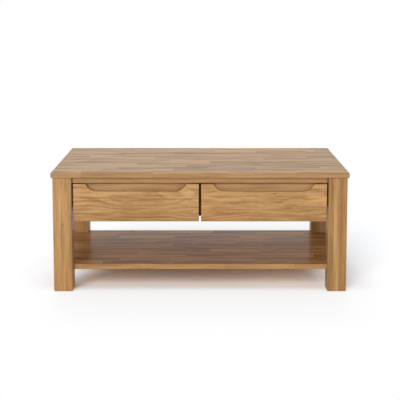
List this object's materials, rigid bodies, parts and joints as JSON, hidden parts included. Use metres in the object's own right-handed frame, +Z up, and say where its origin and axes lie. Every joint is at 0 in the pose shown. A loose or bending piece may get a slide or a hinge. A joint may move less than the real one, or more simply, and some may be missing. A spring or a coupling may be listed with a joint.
{
  "type": "coffee table",
  "caption": "Oak coffee table on square laminated legs, with side-by-side drawers that have scooped grips and ball-bearing slides, and an open notched lower shelf.",
  "frame": {"origin": "on the floor under the middle of the table", "axes": "+X along the width to the right as seen from the front, +Y towards the back, +Z up; the drawers open towards -Y"},
  "size_m": [1.1, 0.65, 0.45],
  "materials": {
    "oak_top": "satin oiled, stave-glued",
    "oak_legs": "satin oiled, laminated",
    "oak_frame": "satin oiled",
    "oak_shelf": "satin oiled, stave-glued",
    "oak_fronts": "satin oiled",
    "drawer_box_wood": "matt",
    "drawer_floor_plywood": "matt plywood",
    "batten_wood": "raw",
    "dowel_wood": "raw beech",
    "slide_steel": "dark passivated zinc",
    "cage_steel": "bare strip",
    "ball_steel": "polished",
    "screw_steel": "zinc plated",
    "bracket_steel": "zinc plated",
    "felt": "pressed felt",
    "stop_rubber": "matt"
  },
  "bodies": {
    "frame": {"back_apron": "oak_frame", "back_left_leg": "oak_legs", "back_right_leg": "oak_legs", "batten_screws": "screw_steel", "bracket_screws": "screw_steel", "centre_divider": "oak_frame", "divider_pegs": "dowel_wood", "divider_screws": "screw_steel", "felt_glides": "felt", "frame_dowels": "dowel_wood", "front_left_leg": "oak_legs", "front_rail": "oak_frame", "front_right_leg": "oak_legs", "left_apron": "oak_frame", "left_leg_fixed_rail": "slide_steel", "left_middle_fixed_rail": "slide_steel", "left_slide_batten": "batten_wood", "lower_shelf": "oak_shelf", "right_apron": "oak_frame", "right_leg_fixed_rail": "slide_steel", "right_middle_fixed_rail": "slide_steel", "right_slide_batten": "batten_wood", "shelf_dowels": "dowel_wood", "slide_end_stops": "stop_rubber", "slide_screws": "screw_steel", "table_top": "oak_top", "top_brackets": "bracket_steel", "top_screws": "screw_steel"},
    "left_drawer": {"left_drawer_back": "drawer_box_wood", "left_drawer_floor": "drawer_floor_plywood", "left_drawer_front": "oak_fronts", "left_drawer_front_screws": "screw_steel", "left_drawer_inner_front": "oak_fronts", "left_drawer_leg_side": "drawer_box_wood", "left_drawer_middle_side": "drawer_box_wood", "left_drawer_pegs": "dowel_wood", "left_drawer_rail_screws": "screw_steel", "left_leg_drawer_rail": "slide_steel", "left_middle_drawer_rail": "slide_steel"},
    "right_drawer": {"right_drawer_back": "drawer_box_wood", "right_drawer_floor": "drawer_floor_plywood", "right_drawer_front": "oak_fronts", "right_drawer_front_screws": "screw_steel", "right_drawer_inner_front": "oak_fronts", "right_drawer_leg_side": "drawer_box_wood", "right_drawer_middle_side": "drawer_box_wood", "right_drawer_pegs": "dowel_wood", "right_drawer_rail_screws": "screw_steel", "right_leg_drawer_rail": "slide_steel", "right_middle_drawer_rail": "slide_steel"},
    "left_ball_cages": {"left_leg_ball_cage": "cage_steel", "left_middle_ball_cage": "cage_steel", "left_slide_balls": "ball_steel"},
    "right_ball_cages": {"right_leg_ball_cage": "cage_steel", "right_middle_ball_cage": "cage_steel", "right_slide_balls": "ball_steel"}
  },
  "joints": [
    {"name": "left_drawer_slide", "type": "slide", "parent": "frame", "child": "left_drawer", "axis": [0, -1, 0], "range_m": [0, 0.37]},
    {"name": "left_cage_slide", "type": "slide", "parent": "frame", "child": "left_ball_cages", "axis": [0, -1, 0], "range_m": [0, 0.185]},
    {"name": "right_drawer_slide", "type": "slide", "parent": "frame", "child": "right_drawer", "axis": [0, -1, 0], "range_m": [0, 0.37]},
    {"name": "right_cage_slide", "type": "slide", "parent": "frame", "child": "right_ball_cages", "axis": [0, -1, 0], "range_m": [0, 0.185]}
  ],
  "couplings": [
    {"joint": "left_cage_slide", "follows": "left_drawer_slide", "ratio": 0.5},
    {"joint": "right_cage_slide", "follows": "right_drawer_slide", "ratio": 0.5}
  ]
}
